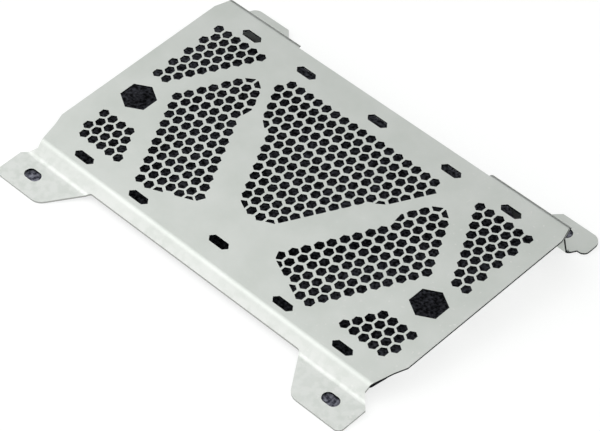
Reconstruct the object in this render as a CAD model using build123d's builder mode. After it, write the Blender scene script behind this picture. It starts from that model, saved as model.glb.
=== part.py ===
"""Guard for a motorcycle radiator: one laser-cut aluminium sheet with folds along both long sides.

The perforated plate lies level on top. Along its near side a sloping web runs the full
width and ends in two tabs. Along its far side two legs go straight down, and each of
them turns outwards into a tab. A bolt goes through the slot in each tab.

X runs along the guard, Y from the near side to the far side and Z up. The origin is
midway along and across the guard, on the level of the far tabs' underside.
Sizes are in millimetres.
"""

import math
import os

from build123d import *

# Sheet and plate
sheet = 1.5
plate_width = 349.6
plate_depth = 193.9
guard_height = 34.0

# Near side: the sloping web and its tabs
web_drop = 8.0
web_angle = 40.0
web_bend_radius = 5.0
web_edge_setback = 2.0
near_tab_reach = 29.8
near_tab_foot_width = 68.8
near_tab_end_width = 46.3
near_tab_corner_radius = 11.0
near_tab_outer_radius = 4.5
near_tab_root_radius = 4.0

# Far side: the legs and their tabs
leg_bend_radius = 3.0
leg_gap = 192.0
leg_inner_slope = 0.70
far_tab_reach = 26.3
far_tab_chamfer = 5.6
far_tab_overhang = 2.2
far_tab_ear_depth = 19.6
far_tab_ear_radius = 8.0
far_tab_ear_width = 7.0
far_tab_heel_radius = 5.0

# Tapers at the plate's four corners and the waist beside each fold
far_taper_start = 11.3
far_taper = 3.8
leg_waist = 10.5
leg_waist_depth = 19.0
leg_foot = 8.8
near_taper_start = 27.4
near_taper_knee = 17.8
near_taper_knee_inset = 3.6
near_taper = 8.3
near_waist = 9.2
near_waist_end = 14.0

# Small hexagonal holes: their lattice and their fields
hole_flats = 7.1
hole_points = 8.6
hole_pitch = 9.0
row_gap_wide = 8.7
row_gap_narrow = 7.7
field_rows = 18
first_row_setback = 31.25
side_field_lift = 0.4
centre_outline_shift = -1.1
sliver_share = 0.33

# Outlines of the fields, as (holes from the middle, rows below the first row)
centre_field = [
    (8.48, -0.74),
    (9.03, 0.79),
    (7.00, 4.66),
    (6.30, 5.22),
    (5.63, 5.81),
    (2.00, 12.79),
    (1.01, 13.30),
    (0.60, 13.72),
]
side_field = [
    (10.50, 1.58),
    (9.42, 2.31),
    (8.95, 3.41),
    (8.34, 4.43),
    (8.51, 5.79),
    (4.07, 14.77),
    (4.45, 15.62),
    (7.93, 17.27),
    (8.11, 17.74),
    (9.67, 17.74),
    (14.53, 8.00),
    (11.68, 2.45),
]

# Corner fields of whole holes, whose distance from the left and the right edge is not the same
corner_row_gap = 7.85
far_corner_right_margin = 18.4
far_corner_left_margin = 20.5
far_corner_setback = 26.5
far_corner_rows = 9
far_corner_first_count = 6
near_corner_right_margin = 17.5
near_corner_left_margin = 22.1
near_corner_setback = 25.8
near_corner_rows = 4
near_corner_first_count = 4

# Large hexagonal holes
large_flats = 25.2
large_points = 27.5
large_side_margin = 28.3
large_setback = 116.0

# Pointed slots along the long edges
vent_length = 19.2
vent_width = 7.1
vent_tip = 3.1
vent_outer_margin = 44.3
vent_inner_offset = 73.0
vent_far_setback = 15.1
vent_near_setback = 9.7
vent_middle_setback = 19.0

# Bolt slots in the tabs
bolt_slot_width = 9.4
bolt_slot_length = 14.4
bolt_slot_spacing = 302.4
near_slot_setback = 16.4
far_slot_setback = 12.4

# Places worked out from the sizes above
half_width = plate_width / 2
web_run = web_drop / math.tan(math.radians(web_angle))
leg_outer_radius = leg_bend_radius + sheet
guard_depth = near_tab_reach + web_run + plate_depth + leg_outer_radius + far_tab_reach
near_tab_y = -guard_depth / 2
lower_fold_y = near_tab_y + near_tab_reach
upper_fold_y = lower_fold_y + web_run
far_edge_y = upper_fold_y + plate_depth
leg_face_y = far_edge_y + leg_outer_radius
far_tab_y = leg_face_y + far_tab_reach
near_tab_top = guard_height - web_drop
mean_row_gap = (row_gap_wide + row_gap_narrow) / 2
first_row_y = far_edge_y - first_row_setback


def bent_section():
    """Side view of the folded sheet, drawn along its upper face."""
    with BuildSketch() as section:
        with BuildLine():
            upper_face = FilletPolyline(
                (near_tab_y, near_tab_top),
                (lower_fold_y, near_tab_top),
                (upper_fold_y, guard_height),
                (leg_face_y, guard_height),
                (leg_face_y, sheet),
                (far_tab_y, sheet),
                radius=[web_bend_radius, web_bend_radius + sheet, leg_outer_radius, leg_bend_radius],
            )
            offset(upper_face, amount=sheet, side=Side.RIGHT)
        make_face()
    return section.sketch


def plan_outline():
    """Right half of the blank seen from above: the plate, the web and one tab on each side."""
    tab_root = half_width - near_tab_foot_width
    tab_end = half_width - near_tab_end_width
    web_edge_y = lower_fold_y + web_edge_setback
    ear_x = half_width + far_tab_overhang
    leg_inner = leg_gap / 2
    leg_foot_inner = leg_inner + leg_inner_slope * guard_height
    far_chamfer_y = far_tab_y - far_tab_chamfer
    foot_line_x = leg_foot_inner + leg_inner_slope * (far_chamfer_y - leg_face_y)
    ear_y = far_tab_y - far_tab_ear_depth
    with BuildSketch() as plan:
        with BuildLine():
            Polyline(
                (0, far_edge_y),
                (leg_inner, far_edge_y),
                (leg_inner, leg_face_y),
                (leg_foot_inner, leg_face_y),
                (foot_line_x, far_chamfer_y),
                (foot_line_x + far_tab_chamfer, far_tab_y),
                (ear_x, far_tab_y),
                (ear_x, ear_y),
                (ear_x - far_tab_ear_width, ear_y),
                (half_width - leg_foot, leg_face_y),
                (half_width - far_taper, leg_face_y),
                (half_width - far_taper, far_edge_y),
                (half_width, far_edge_y - far_taper_start),
                (half_width, upper_fold_y + near_taper_start),
                (half_width - near_taper_knee_inset, upper_fold_y + near_taper_knee),
                (half_width - near_taper, upper_fold_y),
                (half_width - near_waist, lower_fold_y + web_run / 2),
                (half_width, upper_fold_y - near_waist_end),
                (half_width, near_tab_y),
                (tab_end, near_tab_y),
                (tab_root, web_edge_y),
                (0, web_edge_y),
                close=True,
            )
        make_face()
        rounded_corners = [
            (tab_end, near_tab_y, near_tab_corner_radius),
            (half_width, near_tab_y, near_tab_outer_radius),
            (tab_root, web_edge_y, near_tab_root_radius),
            (ear_x, far_tab_y, far_tab_ear_radius),
            (ear_x, ear_y, far_tab_heel_radius),
        ]
        for corner_x, corner_y, radius in rounded_corners:
            fillet(plan.vertices().sort_by_distance((corner_x, corner_y))[0], radius)
    return plan.sketch


def leg_waste():
    """What is cut away on the right beside the leg, seen from the far side."""
    leg_inner = leg_gap / 2
    leg_top = half_width - far_taper
    leg_foot_x = half_width - leg_foot
    beyond = half_width + far_tab_overhang
    with BuildSketch() as waste:
        with BuildLine():
            Polyline(
                (leg_inner, guard_height),
                (leg_inner + leg_inner_slope * guard_height, 0),
                (leg_inner, 0),
                close=True,
            )
        make_face()
        with BuildLine():
            Polyline(
                (leg_top, guard_height),
                (half_width - leg_waist, guard_height - leg_waist_depth),
                (leg_foot_x, sheet + leg_bend_radius),
                (leg_foot_x, 0),
                (beyond, 0),
                (beyond, guard_height),
                close=True,
            )
        make_face()
    return waste.sketch


def hexagon(flats, points):
    """Corners of a hexagon that stands on a point."""
    return [
        (0, points / 2),
        (flats / 2, points / 4),
        (flats / 2, -points / 4),
        (0, -points / 2),
        (-flats / 2, -points / 4),
        (-flats / 2, points / 4),
    ]


def row_height(row):
    """Height of a lattice row, where wide and narrow gaps take turns."""
    wide_gaps = (row + 1) // 2
    narrow_gaps = row // 2
    return first_row_y - wide_gaps * row_gap_wide - narrow_gaps * row_gap_narrow


def field_cells(corners):
    """Lattice holes inside an outline. The outline clips them, and slivers stay as sheet."""
    first_column = math.floor(min(columns for columns, rows in corners))
    last_column = math.ceil(max(columns for columns, rows in corners))
    row_count = min(field_rows, math.ceil(max(rows for columns, rows in corners)) + 1)
    outline = [(columns * hole_pitch, first_row_y - rows * mean_row_gap) for columns, rows in corners]
    centres = [
        ((column + row % 2 / 2) * hole_pitch, row_height(row))
        for row in range(row_count)
        for column in range(first_column, last_column + 1)
    ]
    with BuildSketch() as cells:
        with Locations(*centres):
            Polygon(*hexagon(hole_flats, hole_points), align=None)
        Polygon(*outline, align=None, mode=Mode.INTERSECT)
    smallest = sliver_share * 3 / 4 * hole_flats * hole_points
    return [cell for cell in cells.faces() if cell.area > smallest]


def corner_centres(side, margin, first_y, counts):
    """Centres of whole holes in one corner. The side is 1 on the right and -1 on the left."""
    centres = []
    for row, count in enumerate(counts):
        outer_x = half_width - margin - row % 2 * hole_pitch / 2
        for column in range(count):
            centres.append((side * (outer_x - column * hole_pitch), first_y - row * corner_row_gap))
    return centres


def corner_holes():
    """Centres of the holes in the four corner fields."""
    far_counts = [far_corner_first_count - (row + 1) // 2 for row in range(far_corner_rows)]
    near_counts = [near_corner_first_count + row // 2 for row in range(near_corner_rows)]
    far_first_y = far_edge_y - far_corner_setback
    near_first_y = upper_fold_y + near_corner_setback + (near_corner_rows - 1) * corner_row_gap
    centres = corner_centres(1, far_corner_right_margin, far_first_y, far_counts)
    centres += corner_centres(-1, far_corner_left_margin, far_first_y, far_counts)
    centres += corner_centres(1, near_corner_right_margin, near_first_y, near_counts)
    centres += corner_centres(-1, near_corner_left_margin, near_first_y, near_counts)
    return centres


def pointed_slot():
    """Corners of a slot with pointed ends."""
    shoulder = vent_length / 2 - vent_tip
    return [
        (vent_length / 2, 0),
        (shoulder, vent_width / 2),
        (-shoulder, vent_width / 2),
        (-vent_length / 2, 0),
        (-shoulder, -vent_width / 2),
        (shoulder, -vent_width / 2),
    ]


def vent_centres():
    """Centres of the pointed slots along both long edges."""
    far_vent_y = far_edge_y - vent_far_setback
    near_vent_y = upper_fold_y + vent_near_setback
    outer_vent_x = half_width - vent_outer_margin
    centres = [(0, far_vent_y), (0, upper_fold_y + vent_middle_setback)]
    for vent_x in (-outer_vent_x, -vent_inner_offset, vent_inner_offset, outer_vent_x):
        centres += [(vent_x, far_vent_y), (vent_x, near_vent_y)]
    return centres


def large_centres():
    """Centres of the two large hexagonal holes."""
    large_x = half_width - large_side_margin
    large_y = far_edge_y - large_setback
    return [(large_x, large_y), (-large_x, large_y)]


def side_cells():
    """Holes of the right and the left side field."""
    with BuildSketch() as cells:
        with Locations((0, side_field_lift)):
            add(field_cells(side_field))
        mirror(about=Plane.YZ)
    return cells.sketch


def centre_cells():
    """Holes of the centre field, whose outline lies a little left of the lattice's middle."""
    shift = centre_outline_shift / hole_pitch
    right_half = [(shift + columns, rows) for columns, rows in centre_field]
    left_half = [(shift - columns, rows) for columns, rows in reversed(centre_field)]
    return field_cells(right_half + left_half)


def bolt_slots():
    """One slot in each of the four tabs, seen from above."""
    slot_x = bolt_slot_spacing / 2
    with BuildSketch() as slots:
        with Locations((slot_x, near_tab_y + near_slot_setback), (slot_x, far_tab_y - far_slot_setback)):
            SlotOverall(bolt_slot_length, bolt_slot_width)
        mirror(about=Plane.YZ)
    return slots.sketch


def folded_edges():
    """The web with its tabs and the legs with theirs, without the level plate between the folds."""
    section = bent_section()
    outline = plan_outline()
    waste = leg_waste()
    slots = bolt_slots()
    with BuildPart() as edges:
        with BuildSketch(Plane.YZ):
            add(section)
        extrude(amount=half_width + far_tab_overhang, both=True)
        # The blank's outline from above
        with BuildSketch():
            add(outline)
            mirror(about=Plane.YZ)
        extrude(amount=guard_height, mode=Mode.INTERSECT)
        # The legs' outline from the far side
        with BuildSketch(Plane.XZ.offset(-far_edge_y)):
            add(waste)
            mirror(about=Plane.YZ)
        extrude(amount=-leg_outer_radius, mode=Mode.SUBTRACT)
        # The slots in the tabs
        with BuildSketch():
            add(slots)
        extrude(amount=near_tab_top, mode=Mode.SUBTRACT)
        # Room for the plate
        with BuildSketch():
            add(level_zone())
        extrude(amount=guard_height, mode=Mode.SUBTRACT)
    return edges.part


def level_zone():
    """Where the sheet is level, between the bends along its two long edges."""
    bend_half_angle = math.radians(web_angle) / 2
    bend_end_y = upper_fold_y + (web_bend_radius + sheet) * math.tan(bend_half_angle)
    with BuildSketch() as zone:
        with Locations((0, (bend_end_y + far_edge_y) / 2)):
            Rectangle(plate_width, far_edge_y - bend_end_y)
    return zone.sketch


plate_blank = plan_outline()
plate_zone = level_zone()
beside_centre = side_cells()
in_centre = centre_cells()
edges = folded_edges()

with BuildPart() as guard_plate:
    # The level plate with its holes
    with BuildSketch(Plane.XY.offset(guard_height)):
        add(plate_blank)
        mirror(about=Plane.YZ)
        add(plate_zone, mode=Mode.INTERSECT)
        with Locations(*vent_centres()):
            Polygon(*pointed_slot(), align=None, mode=Mode.SUBTRACT)
        with Locations(*large_centres()):
            Polygon(*hexagon(large_flats, large_points), align=None, mode=Mode.SUBTRACT)
        with Locations(*corner_holes()):
            Polygon(*hexagon(hole_flats, hole_points), align=None, mode=Mode.SUBTRACT)
        add(beside_centre, mode=Mode.SUBTRACT)
        add(in_centre, mode=Mode.SUBTRACT)
    extrude(amount=-sheet, clean=False)
    add(edges, clean=False)

guard_plate.part.label = "guard_plate"

os.makedirs("parts", exist_ok=True)
export_step(guard_plate.part, "parts/guard_plate.step")
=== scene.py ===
import math

import bpy
from mathutils import Matrix, Vector


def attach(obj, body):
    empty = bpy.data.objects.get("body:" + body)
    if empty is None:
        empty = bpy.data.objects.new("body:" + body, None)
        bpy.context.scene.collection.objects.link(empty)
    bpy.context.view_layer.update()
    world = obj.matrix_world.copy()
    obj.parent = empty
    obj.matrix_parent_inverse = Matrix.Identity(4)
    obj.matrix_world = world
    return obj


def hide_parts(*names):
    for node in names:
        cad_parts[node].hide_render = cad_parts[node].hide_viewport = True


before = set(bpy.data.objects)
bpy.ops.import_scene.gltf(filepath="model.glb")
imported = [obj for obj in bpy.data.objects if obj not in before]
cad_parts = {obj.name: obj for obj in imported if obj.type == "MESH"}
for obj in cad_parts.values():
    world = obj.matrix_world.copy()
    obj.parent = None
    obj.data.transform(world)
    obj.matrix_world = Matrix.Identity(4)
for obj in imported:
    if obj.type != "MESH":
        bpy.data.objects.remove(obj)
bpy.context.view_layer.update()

# All lengths are in metres. Camera, fitted to the plate's holes
PICTURE_WIDTH = 600
FOCAL_PIXELS = 2841.6
SENSOR_WIDTH = 36.0
CAMERA_PLACE = Vector((1.02159, -0.92071, 1.5164))
CAMERA_RIGHT = Vector((0.7058, 0.70704, -0.04408))
CAMERA_UP = Vector((-0.50359, 0.54452, 0.67074))

# The guard's resting line: far tabs touch at their fold, near tabs at their outer edge
FAR_CONTACT = Vector((0.0, 0.1087, 0.0))
NEAR_CONTACT = Vector((0.0, -0.132, 0.0245))

# Where the CAD mesh has its slots, its legs and its near cut edges
SLOT_X = 0.1512
NEAR_SLOT_Y = -0.1156
FAR_SLOT_Y = 0.1196
SLOT_REACH = 0.009
LEG_START = 0.1015
LEG_END = 0.1060
LEG_INNER_X = 0.0955
WEB_EDGE_Y = -0.095
NORMAL_LIMIT = 0.05

# Light from all round, and the white that stands for the background
WORLD_STRENGTH = 0.99
WORLD_LIGHT = (0.97, 1.0, 0.975, 1.0)
WORLD_WHITE = (1.02, 1.02, 1.02, 1.0)

# Floor, just below the tabs
FLOOR_HALF = 4.0
FLOOR_DROP = -0.0002
FLOOR_BOUNCE = (0.75, 0.75, 0.75, 1.0)
FLOOR_WHITE = (0.9, 0.9, 0.9, 1.0)
FLOOR_GLOW = 1.15
FLOOR_GLOW_SHARE = 0.6

# Black wall far behind the guard, out of the picture
WALL_Y = 3.9
WALL_LEFT = -8.0
WALL_RIGHT = 3.9
WALL_FOOT = -0.45
WALL_TOP = 3.7
WALL_COLOUR = (0.02, 0.02, 0.025, 1.0)

# Cloth on the floor, as far as the plate hides its rim from the camera
MAT_OUTLINE = (
    (-0.168, -0.09),
    (0.159, -0.09),
    (0.1606, -0.086),
    (0.1618, -0.074),
    (0.162, -0.062),
    (0.158, 0.014),
    (0.1525, 0.112),
    (-0.1905, 0.112),
    (-0.188, 0.064),
    (-0.182, 0.008),
)
PATCH_HALF_LENGTH = 0.012
PATCH_HALF_WIDTH = 0.009
CLOTH_SCALE = 420.0
CLOTH_STOPS = (0.4, 0.68)
CLOTH_ROUGHNESS = 0.9
CLOTH_SHINE = 0.1

# Metal: mottle over the whole sheet, scuffs towards the right, paler blotches on the near side that are
# painted light, fine grain
METAL_ROUGHNESS = 0.5
MOTTLE_SCALE = 36.0
MOTTLE_STOPS = (0.3, 0.7)
METAL_DARK = (0.622, 0.655, 0.618, 1.0)
METAL_LIGHT = (0.684, 0.71, 0.68, 1.0)
SCUFF_SCALE = 330.0
SCUFF_STOPS = (0.68, 0.78)
SCUFF_X = (0.02, 0.16)
SCUFF_SHARE = (0.05, 0.55)
SCUFF_COLOUR = (0.8, 0.8, 0.78, 1.0)
# Painted light: paler blotches on the near web and tabs, where the front light falls brighter
NEAR_PAINTED_LIGHT_SCALE = 150.0
NEAR_PAINTED_LIGHT_STOPS = (0.4, 0.56)
NEAR_PAINTED_LIGHT_Y = (-0.09, -0.101)
NEAR_PAINTED_LIGHT_SHARE = (0.0, 0.75)
NEAR_PAINTED_LIGHT_COLOUR = (0.73, 0.75, 0.725, 1.0)
GRAIN_SCALE = 900.0
GRAIN_STRENGTH = 0.12
GRAIN_DEPTH = 0.0002
EDGE_ROUGHNESS = 0.6

BLACK = (0.0, 0.0, 0.0, 1.0)
WHITE = (1.0, 1.0, 1.0, 1.0)


def new_material(name):
    """Material with an empty node tree and its output node."""
    material = bpy.data.materials.new(name)
    material.use_nodes = True
    tree = material.node_tree
    tree.nodes.clear()
    output = tree.nodes.new("ShaderNodeOutputMaterial")
    return material, tree, output


def noise_node(tree, coords, scale, detail):
    """Noise in the piece's own coordinates, so it stays on the piece."""
    noise = tree.nodes.new("ShaderNodeTexNoise")
    noise.inputs["Scale"].default_value = scale
    noise.inputs["Detail"].default_value = detail
    tree.links.new(coords.outputs["Object"], noise.inputs["Vector"])
    return noise


def colour_ramp(tree, noise, positions, colours):
    """Two-stop ramp over a noise value."""
    ramp = tree.nodes.new("ShaderNodeValToRGB")
    for element, position, colour in zip(ramp.color_ramp.elements, positions, colours):
        element.position = position
        element.color = colour
    tree.links.new(noise.outputs["Fac"], ramp.inputs["Fac"])
    return ramp.outputs["Color"]


def map_range(tree, value, source, target):
    """Value carried from one range to another, held at its ends."""
    node = tree.nodes.new("ShaderNodeMapRange")
    node.inputs["From Min"].default_value = source[0]
    node.inputs["From Max"].default_value = source[1]
    node.inputs["To Min"].default_value = target[0]
    node.inputs["To Max"].default_value = target[1]
    tree.links.new(value, node.inputs["Value"])
    return node.outputs[0]


def arithmetic(tree, operation, first, second):
    """Result of an operation on a value and another, which may be a plain number."""
    node = tree.nodes.new("ShaderNodeMath")
    node.operation = operation
    tree.links.new(first, node.inputs[0])
    if isinstance(second, float):
        node.inputs[1].default_value = second
    else:
        tree.links.new(second, node.inputs[1])
    return node.outputs[0]


def colour_mix(tree, share, first, second):
    """Mix of two colours, each a plain one or a socket."""
    node = tree.nodes.new("ShaderNodeMix")
    node.data_type = "RGBA"
    tree.links.new(share, node.inputs["Factor"])
    first_socket, second_socket = (socket for socket in node.inputs if socket.type == "RGBA")
    for socket, colour in ((first_socket, first), (second_socket, second)):
        if isinstance(colour, tuple):
            socket.default_value = colour
        else:
            tree.links.new(colour, socket)
    return next(socket for socket in node.outputs if socket.type == "RGBA")


def seen_share(tree):
    """One for the rays that show the background: camera, glossy and transmission rays."""
    path = tree.nodes.new("ShaderNodeLightPath")
    share = path.outputs["Is Camera Ray"]
    for name in ("Is Glossy Ray", "Is Transmission Ray"):
        share = arithmetic(tree, "MAXIMUM", share, path.outputs[name])
    return share


def make_camera():
    data = bpy.data.cameras.new("camera")
    data.sensor_width = SENSOR_WIDTH
    data.lens = FOCAL_PIXELS * SENSOR_WIDTH / PICTURE_WIDTH
    data.clip_start = 0.01
    data.clip_end = 20.0
    camera = bpy.data.objects.new("camera", data)
    right = CAMERA_RIGHT.normalized()
    back = right.cross(CAMERA_UP).normalized()
    up = back.cross(right)
    turn = Matrix((right, up, back)).transposed().to_4x4()
    camera.matrix_world = Matrix.Translation(CAMERA_PLACE) @ turn
    bpy.context.scene.collection.objects.link(camera)
    bpy.context.scene.camera = camera


def area_light(name, direction, distance, size, power, colour):
    """Square softbox that faces the guard."""
    data = bpy.data.lights.new(name, "AREA")
    data.shape = "SQUARE"
    data.size = size
    data.energy = power
    data.color = colour
    light = bpy.data.objects.new(name, data)
    direction = Vector(direction).normalized()
    light.location = direction * distance
    light.rotation_mode = "QUATERNION"
    light.rotation_quaternion = direction.to_track_quat("Z", "Y")
    bpy.context.scene.collection.objects.link(light)


def make_lights():
    area_light(
        "front_left_box",
        direction=(-0.36, -0.65, 0.6),
        distance=0.9,
        size=0.6,
        power=0.4,
        colour=(1.0, 0.92, 0.96),
    )
    area_light(
        "top_box",
        direction=(-0.36, -0.2, 0.75),
        distance=0.9,
        size=0.6,
        power=1.2,
        colour=(1.0, 1.0, 1.0),
    )


def make_world():
    """Even light all round, white where it is seen."""
    world = bpy.data.worlds.new("studio")
    world.use_nodes = True
    tree = world.node_tree
    background = tree.nodes["Background"]
    background.inputs["Strength"].default_value = WORLD_STRENGTH
    colour = colour_mix(tree, seen_share(tree), WORLD_LIGHT, WORLD_WHITE)
    tree.links.new(colour, background.inputs["Color"])
    bpy.context.scene.world = world


def stage_plane(name, corners, material):
    """Flat stage piece through the given corners."""
    mesh = bpy.data.meshes.new(name)
    mesh.from_pydata([tuple(c) for c in corners], [], [tuple(range(len(corners)))])
    mesh.materials.append(material)
    thing = bpy.data.objects.new(name, mesh)
    bpy.context.scene.collection.objects.link(thing)


def floor_point(x, y, lift=0.0):
    """Point on the slightly tilted floor that all four tabs touch."""
    slope = (NEAR_CONTACT.z - FAR_CONTACT.z) / (NEAR_CONTACT.y - FAR_CONTACT.y)
    return Vector((x, y, FAR_CONTACT.z + slope * (y - FAR_CONTACT.y) + lift))


def make_floor():
    """White floor that keeps the shadow."""
    material, tree, output = new_material("floor")
    seen = seen_share(tree)
    diffuse = tree.nodes.new("ShaderNodeBsdfDiffuse")
    tone = colour_mix(tree, seen, FLOOR_BOUNCE, FLOOR_WHITE)
    tree.links.new(tone, diffuse.inputs["Color"])
    emission = tree.nodes.new("ShaderNodeEmission")
    emission.inputs["Strength"].default_value = FLOOR_GLOW
    mix = tree.nodes.new("ShaderNodeMixShader")
    tree.links.new(arithmetic(tree, "MULTIPLY", seen, FLOOR_GLOW_SHARE), mix.inputs["Fac"])
    tree.links.new(diffuse.outputs[0], mix.inputs[1])
    tree.links.new(emission.outputs[0], mix.inputs[2])
    tree.links.new(mix.outputs[0], output.inputs["Surface"])
    signs = ((-1, -1), (1, -1), (1, 1), (-1, 1))
    corners = [floor_point(FLOOR_HALF * x, FLOOR_HALF * y, FLOOR_DROP) for x, y in signs]
    stage_plane("floor", corners, material)


def make_back_wall():
    """Black wall out of the picture, that the far bend reflects."""
    material, tree, output = new_material("black_wall")
    diffuse = tree.nodes.new("ShaderNodeBsdfDiffuse")
    diffuse.inputs["Color"].default_value = WALL_COLOUR
    tree.links.new(diffuse.outputs[0], output.inputs["Surface"])
    corners = (
        (WALL_LEFT, WALL_Y, WALL_FOOT),
        (WALL_RIGHT, WALL_Y, WALL_FOOT),
        (WALL_RIGHT, WALL_Y, WALL_TOP),
        (WALL_LEFT, WALL_Y, WALL_TOP),
    )
    stage_plane("back_wall", corners, material)


def cloth(name, low, high):
    """Rough cloth with a mottled weave."""
    material, tree, output = new_material(name)
    shader = tree.nodes.new("ShaderNodeBsdfPrincipled")
    coords = tree.nodes.new("ShaderNodeTexCoord")
    noise = noise_node(tree, coords, CLOTH_SCALE, 4.0)
    colour = colour_ramp(tree, noise, CLOTH_STOPS, (low, high))
    tree.links.new(colour, shader.inputs["Base Color"])
    shader.inputs["Roughness"].default_value = CLOTH_ROUGHNESS
    shader.inputs["Specular IOR Level"].default_value = CLOTH_SHINE
    tree.links.new(shader.outputs[0], output.inputs["Surface"])
    return material


def make_mat():
    """Dark cloth seen through the holes, and under each slot a paler patch of the bluish cloth, its
    extra paleness painted light where the ground is lit through the slot.
    """
    dark = cloth("dark_cloth", (0.002, 0.002, 0.003, 1.0), (0.066, 0.067, 0.082, 1.0))
    stage_plane("mat", [floor_point(x, y) for x, y in MAT_OUTLINE], dark)
    # Painted light: the bluish cloth under each slot made paler, standing in for the light that falls on
    # it there
    painted_lit_patch = cloth("painted_lit_cloth", (0.03, 0.03, 0.045, 1.0), (0.3, 0.3, 0.36, 1.0))
    for row, y in (("near", NEAR_SLOT_Y), ("far", FAR_SLOT_Y)):
        for side, x in (("left", -SLOT_X), ("right", SLOT_X)):
            corners = (
                floor_point(x - PATCH_HALF_LENGTH, y - PATCH_HALF_WIDTH),
                floor_point(x + PATCH_HALF_LENGTH, y - PATCH_HALF_WIDTH),
                floor_point(x + PATCH_HALF_LENGTH, y + PATCH_HALF_WIDTH),
                floor_point(x - PATCH_HALF_LENGTH, y + PATCH_HALF_WIDTH),
            )
            stage_plane(f"{row}_{side}_patch", corners, painted_lit_patch)


def sheet_metal():
    """Matt mill-finish aluminium with a faint mottle, a few scuffs, and paler blotches on the near web
    and tabs that are painted light.
    """
    material, tree, output = new_material("sheet_metal")
    coords = tree.nodes.new("ShaderNodeTexCoord")
    place = tree.nodes.new("ShaderNodeSeparateXYZ")
    tree.links.new(coords.outputs["Object"], place.inputs[0])

    mottle = noise_node(tree, coords, MOTTLE_SCALE, 6.0)
    bare = colour_ramp(tree, mottle, MOTTLE_STOPS, (METAL_DARK, METAL_LIGHT))

    # Painted light: the near web and tabs made paler in blotches, standing in for the brighter front
    # light there
    near_light_blots = noise_node(tree, coords, NEAR_PAINTED_LIGHT_SCALE, 4.0)
    painted_light_mask = colour_ramp(tree, near_light_blots, NEAR_PAINTED_LIGHT_STOPS, (BLACK, WHITE))
    painted_light_share = map_range(tree, place.outputs["Y"], NEAR_PAINTED_LIGHT_Y, NEAR_PAINTED_LIGHT_SHARE)
    painted_light_amount = arithmetic(tree, "MULTIPLY", painted_light_mask, painted_light_share)
    with_painted_light = colour_mix(tree, painted_light_amount, bare, NEAR_PAINTED_LIGHT_COLOUR)

    specks = noise_node(tree, coords, SCUFF_SCALE, 1.0)
    scuffs = colour_ramp(tree, specks, SCUFF_STOPS, (BLACK, WHITE))
    scuff_share = map_range(tree, place.outputs["X"], SCUFF_X, SCUFF_SHARE)
    scuffed = arithmetic(tree, "MULTIPLY", scuffs, scuff_share)
    colour = colour_mix(tree, scuffed, with_painted_light, SCUFF_COLOUR)

    grain = noise_node(tree, coords, GRAIN_SCALE, 2.0)
    bump = tree.nodes.new("ShaderNodeBump")
    bump.inputs["Strength"].default_value = GRAIN_STRENGTH
    bump.inputs["Distance"].default_value = GRAIN_DEPTH
    tree.links.new(grain.outputs["Fac"], bump.inputs["Height"])

    shader = tree.nodes.new("ShaderNodeBsdfPrincipled")
    shader.inputs["Metallic"].default_value = 1.0
    shader.inputs["Roughness"].default_value = METAL_ROUGHNESS
    tree.links.new(colour, shader.inputs["Base Color"])
    tree.links.new(bump.outputs[0], shader.inputs["Normal"])
    tree.links.new(shader.outputs[0], output.inputs["Surface"])
    return material


def cut_edge(name, colour, shine):
    """Face left by the laser, square to the sheet."""
    material, tree, output = new_material(name)
    shader = tree.nodes.new("ShaderNodeBsdfPrincipled")
    shader.inputs["Base Color"].default_value = colour
    shader.inputs["Roughness"].default_value = EDGE_ROUGHNESS
    shader.inputs["Specular IOR Level"].default_value = shine
    tree.links.new(shader.outputs[0], output.inputs["Surface"])
    return material


def is_painted_lit_rim(centre):
    """True on the rim of the web and the near tabs, away from the slots: the cut faces that get the
    painted light.
    """
    from_slot = math.hypot(abs(centre.x) - SLOT_X, centre.y - NEAR_SLOT_Y)
    return centre.y < WEB_EDGE_Y and from_slot > SLOT_REACH


def is_cut_face(centre, normal):
    """True for a face that the laser left, false for the sheet's own two sides and its bends."""
    on_leg = LEG_START < centre.y < LEG_END and abs(centre.x) > LEG_INNER_X
    if on_leg:
        return abs(normal.x) > NORMAL_LIMIT
    return abs(normal.z) < NORMAL_LIMIT


def dress_guard():
    """Copy of the CAD mesh, with the cut faces in painted light and shade: lit grey on the near rim,
    near-black in shade elsewhere.
    """
    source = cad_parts["guard_plate"]
    guard = bpy.data.objects.new("guard_dress", source.data.copy())
    guard.matrix_world = source.matrix_world
    bpy.context.scene.collection.objects.link(guard)
    mesh = guard.data
    mesh.materials.clear()
    mesh.materials.append(sheet_metal())
    # Painted shade: cut faces near-black, as they stand in shadow
    mesh.materials.append(cut_edge("painted_shade_edge", (0.006, 0.007, 0.008, 1.0), 0.08))
    # Painted light: near cut faces light grey, as the front light falls on them
    mesh.materials.append(cut_edge("painted_lit_edge", (0.4, 0.4, 0.39, 1.0), 0.5))
    for face in mesh.polygons:
        if not is_cut_face(face.center, face.normal):
            face.material_index = 0
        elif is_painted_lit_rim(face.center):
            face.material_index = 2
        else:
            face.material_index = 1
    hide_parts("guard_plate")
    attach(guard, "root")


make_camera()
make_world()
make_lights()
make_floor()
make_back_wall()
make_mat()
dress_guard()

bpy.context.scene.view_settings.view_transform = "Standard"
